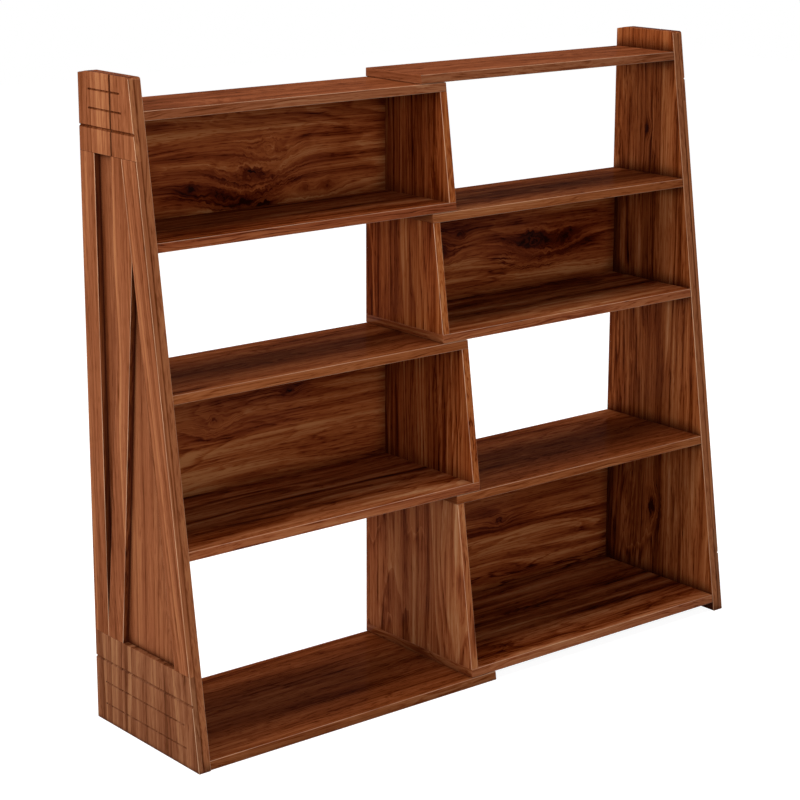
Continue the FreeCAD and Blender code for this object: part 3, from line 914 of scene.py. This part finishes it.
# The open shelves: dark and calm, with painted light along the front edge
SHELF_WALNUT = LacqueredWalnut(
    "lacquered_walnut_shelf",
    shades=("#220903", "#521f09", "#7a3c1c", "#965630", "#b07b54"),
    streaks=0.45,
    lines=0.08,
    clouds=0.8,
    front_tone_and_shade=0.09,
    painted_front_light=0.12,
    wear_and_highlight_share=0.6,
    end_cast=0.14,
    banded_ends=True,
    painted_corner_shade=0.65,
    film=0.014,
)
# The floors of the closed boxes: bold dark streaks under a gloss that mirrors the box
FLOOR_WALNUT = replace(
    SHELF_WALNUT,
    name="polished_walnut_box_floor",
    shades=("#290a04", "#602409", "#884320", "#a26038", "#b88259"),
    streaks=0.8,
    clouds=1.5,
    front_tone_and_shade=0.03,
    painted_front_light=0.08,
    film=0.14,
    film_roughness=0.1,
)
# The top shelves, in a greyer brown
GREYER_TOP_WALNUT = replace(
    SHELF_WALNUT,
    name="lacquered_walnut_top_shelf",
    shades=("#2a0f06", "#562711", "#773e22", "#905435", "#ab7653"),
    streaks=0.4,
    clouds=0.6,
    front_tone_and_shade=0.2,
    painted_front_light=0.0,
    wear_and_highlight_share=0.55,
    painted_corner_shade=0.0,
)
# The uprights: narrow red-brown stripes, with painted light that grows towards the front
UPRIGHT_WALNUT = LacqueredWalnut(
    "lacquered_walnut_upright",
    shades=("#270701", "#5f2207", "#914720", "#ad6536", "#c28658"),
    ring_width=8.0,
    pith_across=300.0,
    swirl=18.0,
    bands=0.3,
    rings=0.4,
    streaks=1.1,
    veins=0.1,
    pores=0.16,
    painted_depth_light=0.14,
    painted_corner_shade=0.65,
)
# One upright that is a duller brown
DULL_UPRIGHT_WALNUT = replace(
    UPRIGHT_WALNUT,
    name="lacquered_walnut_dull_upright",
    shades=("#2a0e05", "#60280f", "#914c2a", "#ad6a40", "#c08a60"),
    front_tone_and_shade=-0.08,
)
# The back boards: the darkest wood, with clouds, veins and knots
BACK_WALNUT = LacqueredWalnut(
    "lacquered_walnut_back",
    shades=("#1e0501", "#4d1705", "#763315", "#954e26", "#b07144"),
    pith_across=20.0,
    swirl=16.0,
    bands=0.12,
    rings=0.34,
    streaks=1.0,
    clouds=1.4,
    veins=0.5,
    pores=0.2,
    front_tone_and_shade=0.25,
    front_calm=0.0,
    front_lines=0.0,
    wear_and_highlight_share=0.7,
    wear_and_highlight_on_ends=True,
    painted_corner_shade=0.7,
)

# The pieces of an end panel, in the order in which they are cut
PANEL_FINISHES = {
    "panel_core": CORE_WALNUT,
    "panel_top_block": BLOCK_WALNUT,
    "panel_bottom_block": FOOT_WALNUT,
    "panel_rear_stile": STRIP_WALNUT,
    "panel_front_stile": PANEL_WALNUT,
    "panel_diagonal_slat": STRIP_WALNUT,
}

LEFT_LOWER_KNOTS = (Knot(-357.0, 472.0, 10.0, 0.3), Knot(-200.0, 500.0, 6.0, 0.7))
LEFT_UPPER_KNOTS = (
    Knot(-236.0, 926.0, 14.0, -0.4),
    Knot(-272.0, 890.0, 19.0, 0.55),
    Knot(-332.0, 862.0, 12.0, 0.5),
    Knot(-290.0, 856.0, 12.0, 0.8),
    Knot(-248.0, 844.0, 11.0, 0.85),
    Knot(-395.0, 872.0, 7.0, 0.6),
    Knot(-165.0, 850.0, 8.0, 0.6),
    Knot(-117.0, 850.0, 9.0, 0.7),
)
RIGHT_LOWER_KNOTS = (Knot(290.0, 165.0, 7.0, 0.5),)
RIGHT_UPPER_KNOTS = (
    Knot(370.0, 695.0, 16.0, 0.7),
    Knot(447.0, 697.0, 12.0, 0.6),
    Knot(185.0, 728.0, 7.0, 0.6),
    Knot(138.0, 701.0, 12.0, 0.4),
)
RIGHT_CORE_KNOTS = (Knot(897.0, 63.0, 5.0, 0.7), Knot(167.0, 21.0, 9.0, 0.8))


def cover(node: str, material: bpy.types.Material) -> None:
    """Give a node of the frame its material.

    Args:
        node: Name of the node.
        material: Finish for all of it.
    """
    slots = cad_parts[node].data.materials
    slots.clear()
    slots.append(material)
    LOG.info("%s: %s", node, material.name)


@dataclass
class EndPanel:
    """Tapered end panel: a core board and five facing pieces with the grain upright."""

    side: Side
    first_cut: int
    core_knots: tuple[Knot, ...] = ()
    core_cast: float = 0.0
    front_lean: float = 0.1435  # the front edge's lean backwards, which the front stile's grain follows

    def dress(self, log: WalnutLog) -> None:
        """Dress each piece as its own board.

        Args:
            log: The shared figure of the wood.
        """
        low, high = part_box(self.side.value + "panel_core")
        outer, outward = (low, -1.0) if self.side is Side.LEFT else (high, 1.0)
        for number, (name, finish) in enumerate(PANEL_FINISHES.items()):
            node = self.side.value + name
            board = Board(node, Grain.UPRIGHT, self.first_cut + number, seam=outer.x / MM)
            if name == "panel_core":
                board = replace(board, cast=self.core_cast, outward=outward, knots=self.core_knots)
            if name == "panel_front_stile":
                board = replace(board, lean=self.front_lean)
            cover(node, finish.material(log, board))


@dataclass
class ShelfStack:
    """The five shelves of one half, with the grain from end panel to free end."""

    side: Side
    first_cut: int
    box_floors: tuple[str, ...]  # the shelves under the closed boxes
    cast: float = -0.03
    names: tuple[str, ...] = ("base_shelf", "low_shelf", "middle_shelf", "high_shelf", "top_shelf")

    def dress(self, log: WalnutLog) -> None:
        """Dress each shelf as its own board.

        Args:
            log: The shared figure of the wood.
        """
        for number, name in enumerate(self.names):
            board = Board(self.side.value + name, Grain.SHELF, self.first_cut + number, cast=self.cast)
            finish = GREYER_TOP_WALNUT if name == "top_shelf" else SHELF_WALNUT
            if name in self.box_floors:
                finish = FLOOR_WALNUT
            cover(board.node, finish.material(log, board))


@dataclass
class ClosedBox:
    """Upright and back board that close one box between two shelves."""

    side: Side
    level: Level
    first_cut: int
    knots: tuple[Knot, ...]  # of the back board
    back_cast: float
    upright_cast: float
    upright_finish: LacqueredWalnut = UPRIGHT_WALNUT

    def dress(self, log: WalnutLog) -> None:
        """Dress the upright with upright grain and the back with lying grain.

        Args:
            log: The shared figure of the wood.
        """
        start = self.side.value + self.level.value
        upright = Board(start + "upright", Grain.UPRIGHT, self.first_cut, cast=self.upright_cast)
        back = Board(start + "back", Grain.BACK, self.first_cut + 1, cast=self.back_cast, knots=self.knots)
        cover(upright.node, self.upright_finish.material(log, upright))
        cover(back.node, BACK_WALNUT.material(log, back))


@dataclass
class Fastenings:
    """Cams, bolts, screws, brads and dowels of one half."""

    side: Side
    steel: PlatedMetal = PlatedMetal("zinc_plated_steel", "#b9bbbc", "#8f9294", 0.3, 0.6)
    cast: PlatedMetal = PlatedMetal("die_cast_zinc", "#a3a5a6", "#7f8284", 0.45, 0.9)
    beech: TurnedBeech = TurnedBeech()
    steel_names: tuple[str, ...] = ("cam_bolts", "upright_screws", "back_brads", "corner_screws")

    def dress(self) -> None:
        """Dress the metal pieces and the dowels."""
        steel = self.steel.material()
        for name in self.steel_names:
            cover(self.side.value + name, steel)
        cover(self.side.value + "cam_locks", self.cast.material())
        cover(self.side.value + "shelf_dowels", self.beech.material())


def put_in_scene(name: str, data: bpy.types.ID) -> bpy.types.Object:
    """Put an object of the studio into the scene.

    Args:
        name: Name of the object.
        data: Mesh, lamp or camera data.

    Returns:
        The new object.
    """
    made = bpy.data.objects.new(name, data)
    bpy.context.scene.collection.objects.link(made)
    return made


@dataclass(frozen=True)
class Softbox:
    """A soft square lamp that faces the middle of the bookcase."""

    name: str
    place: tuple[float, float, float]
    side: float
    watts: float

    def hang(self) -> None:
        """Hang the lamp in its place."""
        data = bpy.data.lights.new(self.name, "AREA")
        data.size = self.side * MM
        data.energy = self.watts
        lamp = put_in_scene(self.name, data)
        low, high = CAD_BOX
        lamp.location = Vector(self.place) * MM
        lamp.rotation_euler = ((low + high) / 2 - lamp.location).to_track_quat("-Z", "Y").to_euler()


# The rear lamp and the right lamp stand where the shelves don't mirror them to the camera
SOFTBOXES = (
    Softbox("side_softbox", (-3200.0, 100.0, 1850.0), 1800.0, 65.0),
    Softbox("front_softbox", (-1600.0, -3200.0, 1750.0), 1600.0, 55.0),
    Softbox("top_softbox", (0.0, 300.0, 3900.0), 2400.0, 106.0),
    Softbox("rear_softbox", (-1300.0, 3400.0, 1600.0), 1600.0, 26.0),
    Softbox("right_softbox", (3600.0, 300.0, 1700.0), 1600.0, 40.0),
)


@dataclass
class Studio:
    """Pale floor, soft lamps, white surroundings and the camera at the photograph's place."""

    softboxes: tuple[Softbox, ...] = SOFTBOXES
    floor_side: float = 16000.0
    floor_drop: float = 0.3
    paper: str = "#c9c9c7"  # the floor as it throws light back
    shadow_paper: str = "#949494"  # the part of it that shows the bookcase's shadow
    near_glow: float = 0.92  # the paper's own white under the bookcase, which rises to 1 around it
    glow_start: float = 600.0  # how far from the middle the rise begins and ends
    glow_end: float = 3000.0
    dome: str = "#fffdfa"
    dome_strength: float = 0.03
    white: str = "#ffffff"
    lens_pixels: float = 2216.8  # focal length in pixels of the image
    axis_pixels_up: float = 40.0  # the optical axis above the image's middle
    camera_place: tuple[float, float, float] = (-2395.6, -2847.1, 1470.7)
    yaw: float = 39.227
    pitch: float = 13.899
    roll: float = 0.142
    sensor: float = 36.0

    def seen_directly(self, tree: bpy.types.NodeTree) -> bpy.types.Node:
        """Tell rays that show the surroundings from rays that only carry light.

        Args:
            tree: Node tree of the floor or the world.

        Returns:
            Node with 1 for camera, mirror and glass rays.
        """
        path = add(tree, "ShaderNodeLightPath").outputs
        mirrored = {0: path["Is Camera Ray"], 1: path["Is Glossy Ray"]}
        seen = add(tree, MATH, mirrored, operation="MAXIMUM")
        return add(tree, MATH, {0: seen, 1: path["Is Transmission Ray"]}, operation="MAXIMUM")

    def floor_material(self) -> bpy.types.Material:
        """Make the floor's paper, which shows white and keeps a faint shadow.

        Returns:
            The material.
        """
        made = new_material("pale_studio_paper")
        tree = made.node_tree
        paper = add(tree, "ShaderNodeBsdfDiffuse", {"Color": linear(self.paper)})
        faint = add(tree, "ShaderNodeBsdfDiffuse", {"Color": linear(self.shadow_paper)})
        place = add(tree, COORDS).outputs["Object"]
        away = add(tree, VECTOR, {0: place}, operation="LENGTH").outputs["Value"]
        rise = {"From Min": self.glow_start * MM, "From Max": self.glow_end * MM}
        rise |= {"To Min": self.near_glow, "To Max": 1.0}
        strength = add(tree, RANGE, {"Value": away, **rise})
        glow = add(tree, "ShaderNodeEmission", {"Color": linear(self.white), "Strength": strength})
        shown = add(tree, "ShaderNodeAddShader", {0: faint, 1: glow})
        either = add(tree, "ShaderNodeMixShader", {0: self.seen_directly(tree), 1: paper, 2: shown})
        add(tree, OUTPUT, {"Surface": either})
        return made

    def floor(self) -> None:
        """Lay the pale floor."""
        half = self.floor_side * MM / 2
        level = -self.floor_drop * MM
        corners = [(-half, -half, level), (half, -half, level), (half, half, level), (-half, half, level)]
        mesh = bpy.data.meshes.new("studio_floor")
        mesh.from_pydata(corners, [], [(0, 1, 2, 3)])
        mesh.materials.append(self.floor_material())
        put_in_scene("studio_floor", mesh)

    def surroundings(self) -> None:
        """Make the world white to look at and a soft dome of light."""
        world = bpy.data.worlds.new("studio_dome")
        world.use_nodes = True
        tree = world.node_tree
        tree.nodes.clear()
        soft = {"Color": linear(self.dome), "Strength": self.dome_strength}
        dome = add(tree, "ShaderNodeBackground", soft)
        white = add(tree, "ShaderNodeBackground", {"Color": linear(self.white), "Strength": 1.0})
        either = add(tree, "ShaderNodeMixShader", {0: self.seen_directly(tree), 1: dome, 2: white})
        add(tree, "ShaderNodeOutputWorld", {"Surface": either})
        bpy.context.scene.world = world

    def camera(self) -> None:
        """Stand the camera at the photograph's viewing place."""
        data = bpy.data.cameras.new("photo_camera")
        data.sensor_width = self.sensor
        data.lens = self.lens_pixels / PHOTO_SIDE * self.sensor
        data.shift_y = -self.axis_pixels_up / PHOTO_SIDE
        yaw, pitch, roll = (math.radians(angle) for angle in (self.yaw, self.pitch, self.roll))
        forward = Vector(
            (math.sin(yaw) * math.cos(pitch), math.cos(yaw) * math.cos(pitch), -math.sin(pitch))
        )
        level = Vector((math.cos(yaw), -math.sin(yaw), 0.0))
        upright = level.cross(forward)
        right = math.cos(roll) * level + math.sin(roll) * upright
        up = math.cos(roll) * upright - math.sin(roll) * level
        camera = put_in_scene("photo_camera", data)
        turn = Matrix((right, up, -forward)).transposed()
        camera.matrix_world = Matrix.Translation(Vector(self.camera_place) * MM) @ turn.to_4x4()
        bpy.context.scene.camera = camera

    def build(self) -> None:
        """Set up the whole studio."""
        self.floor()
        self.surroundings()
        for softbox in self.softboxes:
            softbox.hang()
        self.camera()
        bpy.context.scene.view_settings.view_transform = "Standard"


def main() -> None:
    """Dress both halves and set up the studio."""
    logging.basicConfig(level=logging.INFO, format="%(name)s: %(message)s")
    left, right = Side.LEFT, Side.RIGHT
    log = WalnutLog()
    EndPanel(left, first_cut=1).dress(log)
    EndPanel(right, first_cut=21, core_knots=RIGHT_CORE_KNOTS, core_cast=0.09).dress(log)
    ShelfStack(left, first_cut=7, box_floors=("low_shelf", "high_shelf")).dress(log)
    ShelfStack(right, first_cut=27, box_floors=("base_shelf", "middle_shelf")).dress(log)
    for side in Side:
        Fastenings(side).dress()
    boxes = (
        ClosedBox(left, Level.LOWER, 13, LEFT_LOWER_KNOTS, back_cast=0.02, upright_cast=-0.03),
        ClosedBox(left, Level.UPPER, 15, LEFT_UPPER_KNOTS, back_cast=-0.09, upright_cast=-0.03),
        ClosedBox(
            right,
            Level.LOWER,
            33,
            RIGHT_LOWER_KNOTS,
            back_cast=-0.1,
            upright_cast=0.12,
            upright_finish=DULL_UPRIGHT_WALNUT,
        ),
        ClosedBox(right, Level.UPPER, 35, RIGHT_UPPER_KNOTS, back_cast=-0.1, upright_cast=0.03),
    )
    for box in boxes:
        box.dress(log)
    Studio().build()


if __name__ == "__main__":
    main()
